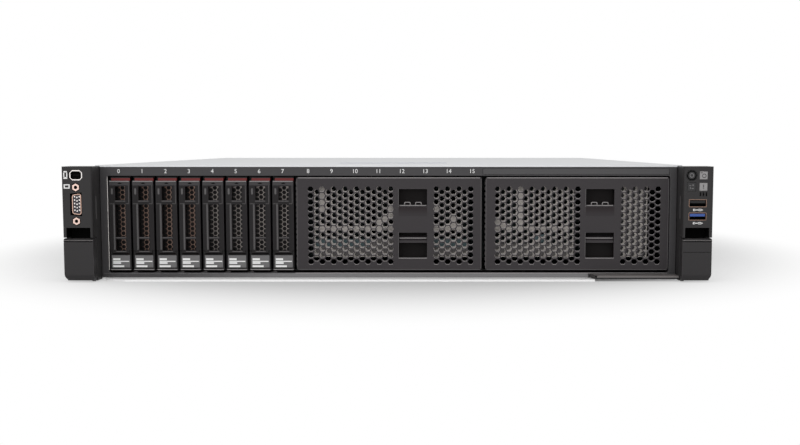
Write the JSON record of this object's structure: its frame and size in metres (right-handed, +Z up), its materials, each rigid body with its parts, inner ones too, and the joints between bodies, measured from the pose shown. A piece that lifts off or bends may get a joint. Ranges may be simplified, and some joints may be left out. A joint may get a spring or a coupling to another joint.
{
  "type": "rack server",
  "caption": "Flat rack server with front drive trays, perforated bay fillers, rack latch ears, fans, accelerator cards and pull-out power supplies",
  "frame": {"origin": "middle of the underside", "axes": "+X to the right as seen from the front, -Y towards the front, +Z up"},
  "size_m": [0.482, 0.786, 0.0865],
  "materials": {
    "galvanised_sheet": "satin zinc coated sheet",
    "cover_sheet": "light grey satin sheet",
    "bezel_plastic": "charcoal satin plastic",
    "ear_plastic": "charcoal fine grained plastic",
    "lever_plastic": "black satin plastic",
    "filler_plastic": "dark grey moulded plastic",
    "tray_plastic": "black plastic with a grey label plate",
    "latch_red": "dark red plastic",
    "port_metal": "plated steel",
    "button_plastic": "dark satin plastic",
    "tab_plastic": "black plastic",
    "board_green": "green lacquered board",
    "fan_plastic": "black plastic",
    "rotor_plastic": "dark grey plastic",
    "sink_aluminium": "milled aluminium",
    "memory_green": "green boards with black chips",
    "card_metal": "dark anodised aluminium",
    "supply_metal": "zinc coated sheet",
    "release_orange": "dark red plastic",
    "cover_latch_blue": "blue touch point plastic"
  },
  "bodies": {
    "chassis": {"chassis_tray": "galvanised_sheet", "rear_wall": "galvanised_sheet", "front_bezel": "bezel_plastic", "drive_cage": "galvanised_sheet", "backplane": "board_green", "left_ear": "ear_plastic", "right_ear": "ear_plastic", "left_ports": "port_metal", "right_ports": "port_metal", "fan_wall": "fan_plastic", "system_board": "board_green", "heat_sinks": "sink_aluminium", "memory_modules": "memory_green", "accelerator_cards": "card_metal", "riser_boards": "board_green"},
    "drive_tray_0": {"drive_tray_0": "tray_plastic"},
    "tray_lever_0": {"tray_lever_0": "lever_plastic"},
    "tray_latch_0": {"tray_latch_0": "latch_red"},
    "drive_tray_1": {"drive_tray_1": "tray_plastic"},
    "tray_lever_1": {"tray_lever_1": "lever_plastic"},
    "tray_latch_1": {"tray_latch_1": "latch_red"},
    "drive_tray_2": {"drive_tray_2": "tray_plastic"},
    "tray_lever_2": {"tray_lever_2": "lever_plastic"},
    "tray_latch_2": {"tray_latch_2": "latch_red"},
    "drive_tray_3": {"drive_tray_3": "tray_plastic"},
    "tray_lever_3": {"tray_lever_3": "lever_plastic"},
    "tray_latch_3": {"tray_latch_3": "latch_red"},
    "drive_tray_4": {"drive_tray_4": "tray_plastic"},
    "tray_lever_4": {"tray_lever_4": "lever_plastic"},
    "tray_latch_4": {"tray_latch_4": "latch_red"},
    "drive_tray_5": {"drive_tray_5": "tray_plastic"},
    "tray_lever_5": {"tray_lever_5": "lever_plastic"},
    "tray_latch_5": {"tray_latch_5": "latch_red"},
    "drive_tray_6": {"drive_tray_6": "tray_plastic"},
    "tray_lever_6": {"tray_lever_6": "lever_plastic"},
    "tray_latch_6": {"tray_latch_6": "latch_red"},
    "drive_tray_7": {"drive_tray_7": "tray_plastic"},
    "tray_lever_7": {"tray_lever_7": "lever_plastic"},
    "tray_latch_7": {"tray_latch_7": "latch_red"},
    "filler_middle": {"filler_middle": "filler_plastic"},
    "filler_middle_upper_tab": {"filler_middle_upper_tab": "filler_plastic"},
    "filler_middle_lower_tab": {"filler_middle_lower_tab": "filler_plastic"},
    "filler_right": {"filler_right": "filler_plastic"},
    "filler_right_upper_tab": {"filler_right_upper_tab": "filler_plastic"},
    "filler_right_lower_tab": {"filler_right_lower_tab": "filler_plastic"},
    "left_ear_lever": {"left_ear_lever": "ear_plastic"},
    "right_ear_lever": {"right_ear_lever": "ear_plastic"},
    "power_button": {"power_button": "button_plastic"},
    "id_button": {"id_button": "button_plastic"},
    "info_tab": {"info_tab": "tab_plastic"},
    "top_cover": {"top_cover": "cover_sheet"},
    "cover_latch": {"cover_latch": "cover_latch_blue"},
    "fan_rotor_0": {"fan_rotor_0": "rotor_plastic"},
    "fan_rotor_1": {"fan_rotor_1": "rotor_plastic"},
    "fan_rotor_2": {"fan_rotor_2": "rotor_plastic"},
    "fan_rotor_3": {"fan_rotor_3": "rotor_plastic"},
    "power_supply_lower": {"power_supply_lower": "supply_metal"},
    "supply_release_lower": {"supply_release_lower": "release_orange"},
    "power_supply_upper": {"power_supply_upper": "supply_metal"},
    "supply_release_upper": {"supply_release_upper": "release_orange"}
  },
  "joints": [
    {"name": "drive_tray_0_slide", "type": "slide", "parent": "chassis", "child": "drive_tray_0", "axis": [0, -1, 0], "range_m": [0, 0.12]},
    {"name": "tray_lever_0_hinge", "type": "hinge", "parent": "drive_tray_0", "child": "tray_lever_0", "pos_m": [-0.20395, -0.3645, 0.0206], "axis": [1, 0, 0], "range_deg": [0, 65]},
    {"name": "tray_latch_0_slide", "type": "slide", "parent": "drive_tray_0", "child": "tray_latch_0", "axis": [-1, 0, 0], "range_m": [0, 0.002], "stiffness_N_per_m": 200},
    {"name": "drive_tray_1_slide", "type": "slide", "parent": "chassis", "child": "drive_tray_1", "axis": [0, -1, 0], "range_m": [0, 0.12]},
    {"name": "tray_lever_1_hinge", "type": "hinge", "parent": "drive_tray_1", "child": "tray_lever_1", "pos_m": [-0.18625, -0.3645, 0.0206], "axis": [1, 0, 0], "range_deg": [0, 65]},
    {"name": "tray_latch_1_slide", "type": "slide", "parent": "drive_tray_1", "child": "tray_latch_1", "axis": [-1, 0, 0], "range_m": [0, 0.002], "stiffness_N_per_m": 200},
    {"name": "drive_tray_2_slide", "type": "slide", "parent": "chassis", "child": "drive_tray_2", "axis": [0, -1, 0], "range_m": [0, 0.12]},
    {"name": "tray_lever_2_hinge", "type": "hinge", "parent": "drive_tray_2", "child": "tray_lever_2", "pos_m": [-0.16855, -0.3645, 0.0206], "axis": [1, 0, 0], "range_deg": [0, 65]},
    {"name": "tray_latch_2_slide", "type": "slide", "parent": "drive_tray_2", "child": "tray_latch_2", "axis": [-1, 0, 0], "range_m": [0, 0.002], "stiffness_N_per_m": 200},
    {"name": "drive_tray_3_slide", "type": "slide", "parent": "chassis", "child": "drive_tray_3", "axis": [0, -1, 0], "range_m": [0, 0.12]},
    {"name": "tray_lever_3_hinge", "type": "hinge", "parent": "drive_tray_3", "child": "tray_lever_3", "pos_m": [-0.15085, -0.3645, 0.0206], "axis": [1, 0, 0], "range_deg": [0, 65]},
    {"name": "tray_latch_3_slide", "type": "slide", "parent": "drive_tray_3", "child": "tray_latch_3", "axis": [-1, 0, 0], "range_m": [0, 0.002], "stiffness_N_per_m": 200},
    {"name": "drive_tray_4_slide", "type": "slide", "parent": "chassis", "child": "drive_tray_4", "axis": [0, -1, 0], "range_m": [0, 0.12]},
    {"name": "tray_lever_4_hinge", "type": "hinge", "parent": "drive_tray_4", "child": "tray_lever_4", "pos_m": [-0.13315, -0.3645, 0.0206], "axis": [1, 0, 0], "range_deg": [0, 65]},
    {"name": "tray_latch_4_slide", "type": "slide", "parent": "drive_tray_4", "child": "tray_latch_4", "axis": [-1, 0, 0], "range_m": [0, 0.002], "stiffness_N_per_m": 200},
    {"name": "drive_tray_5_slide", "type": "slide", "parent": "chassis", "child": "drive_tray_5", "axis": [0, -1, 0], "range_m": [0, 0.12]},
    {"name": "tray_lever_5_hinge", "type": "hinge", "parent": "drive_tray_5", "child": "tray_lever_5", "pos_m": [-0.11545, -0.3645, 0.0206], "axis": [1, 0, 0], "range_deg": [0, 65]},
    {"name": "tray_latch_5_slide", "type": "slide", "parent": "drive_tray_5", "child": "tray_latch_5", "axis": [-1, 0, 0], "range_m": [0, 0.002], "stiffness_N_per_m": 200},
    {"name": "drive_tray_6_slide", "type": "slide", "parent": "chassis", "child": "drive_tray_6", "axis": [0, -1, 0], "range_m": [0, 0.12]},
    {"name": "tray_lever_6_hinge", "type": "hinge", "parent": "drive_tray_6", "child": "tray_lever_6", "pos_m": [-0.09775, -0.3645, 0.0206], "axis": [1, 0, 0], "range_deg": [0, 65]},
    {"name": "tray_latch_6_slide", "type": "slide", "parent": "drive_tray_6", "child": "tray_latch_6", "axis": [-1, 0, 0], "range_m": [0, 0.002], "stiffness_N_per_m": 200},
    {"name": "drive_tray_7_slide", "type": "slide", "parent": "chassis", "child": "drive_tray_7", "axis": [0, -1, 0], "range_m": [0, 0.12]},
    {"name": "tray_lever_7_hinge", "type": "hinge", "parent": "drive_tray_7", "child": "tray_lever_7", "pos_m": [-0.08005, -0.3645, 0.0206], "axis": [1, 0, 0], "range_deg": [0, 65]},
    {"name": "tray_latch_7_slide", "type": "slide", "parent": "drive_tray_7", "child": "tray_latch_7", "axis": [-1, 0, 0], "range_m": [0, 0.002], "stiffness_N_per_m": 200},
    {"name": "filler_middle_slide", "type": "slide", "parent": "chassis", "child": "filler_middle", "axis": [0, -1, 0], "range_m": [0, 0.06]},
    {"name": "filler_middle_upper_tab_slide", "type": "slide", "parent": "filler_middle", "child": "filler_middle_upper_tab", "axis": [0, 0, -1], "range_m": [0, 0.0025], "stiffness_N_per_m": 200},
    {"name": "filler_middle_lower_tab_slide", "type": "slide", "parent": "filler_middle", "child": "filler_middle_lower_tab", "axis": [0, 0, 1], "range_m": [0, 0.0025], "stiffness_N_per_m": 200},
    {"name": "filler_right_slide", "type": "slide", "parent": "chassis", "child": "filler_right", "axis": [0, -1, 0], "range_m": [0, 0.06]},
    {"name": "filler_right_upper_tab_slide", "type": "slide", "parent": "filler_right", "child": "filler_right_upper_tab", "axis": [0, 0, -1], "range_m": [0, 0.0025], "stiffness_N_per_m": 200},
    {"name": "filler_right_lower_tab_slide", "type": "slide", "parent": "filler_right", "child": "filler_right_lower_tab", "axis": [0, 0, 1], "range_m": [0, 0.0025], "stiffness_N_per_m": 200},
    {"name": "left_ear_lever_hinge", "type": "hinge", "parent": "chassis", "child": "left_ear_lever", "pos_m": [-0.22975, -0.3875, 0.0061], "axis": [1, 0, 0], "range_deg": [0, 25], "stiffness_Nm_per_rad": 0.05},
    {"name": "right_ear_lever_hinge", "type": "hinge", "parent": "chassis", "child": "right_ear_lever", "pos_m": [0.22975, -0.3875, 0.0061], "axis": [1, 0, 0], "range_deg": [0, 25], "stiffness_Nm_per_rad": 0.05},
    {"name": "power_button_slide", "type": "slide", "parent": "chassis", "child": "power_button", "axis": [0, 1, 0], "range_m": [0, 0.001], "stiffness_N_per_m": 400},
    {"name": "id_button_slide", "type": "slide", "parent": "chassis", "child": "id_button", "axis": [0, 1, 0], "range_m": [0, 0.001], "stiffness_N_per_m": 400},
    {"name": "info_tab_slide", "type": "slide", "parent": "chassis", "child": "info_tab", "axis": [0, -1, 0], "range_m": [0, 0.06]},
    {"name": "top_cover_slide", "type": "slide", "parent": "chassis", "child": "top_cover", "axis": [0, 0, 1], "range_m": [0, 0.12]},
    {"name": "cover_latch_hinge", "type": "hinge", "parent": "top_cover", "child": "cover_latch", "pos_m": [0, -0.19115, 0.0839], "axis": [-1, 0, 0], "range_deg": [0, 85]},
    {"name": "fan_rotor_0_hinge", "type": "hinge", "parent": "chassis", "child": "fan_rotor_0", "pos_m": [-0.162, -0.15885, 0.04325], "axis": [0, 1, 0], "continuous": true},
    {"name": "fan_rotor_1_hinge", "type": "hinge", "parent": "chassis", "child": "fan_rotor_1", "pos_m": [-0.054, -0.15885, 0.04325], "axis": [0, 1, 0], "continuous": true},
    {"name": "fan_rotor_2_hinge", "type": "hinge", "parent": "chassis", "child": "fan_rotor_2", "pos_m": [0.054, -0.15885, 0.04325], "axis": [0, 1, 0], "continuous": true},
    {"name": "fan_rotor_3_hinge", "type": "hinge", "parent": "chassis", "child": "fan_rotor_3", "pos_m": [0.162, -0.15885, 0.04325], "axis": [0, 1, 0], "continuous": true},
    {"name": "power_supply_lower_slide", "type": "slide", "parent": "chassis", "child": "power_supply_lower", "axis": [0, 1, 0], "range_m": [0, 0.19]},
    {"name": "supply_release_lower_slide", "type": "slide", "parent": "power_supply_lower", "child": "supply_release_lower", "axis": [-1, 0, 0], "range_m": [0, 0.003], "stiffness_N_per_m": 200},
    {"name": "power_supply_upper_slide", "type": "slide", "parent": "chassis", "child": "power_supply_upper", "axis": [0, 1, 0], "range_m": [0, 0.19]},
    {"name": "supply_release_upper_slide", "type": "slide", "parent": "power_supply_upper", "child": "supply_release_upper", "axis": [-1, 0, 0], "range_m": [0, 0.003], "stiffness_N_per_m": 200}
  ]
}
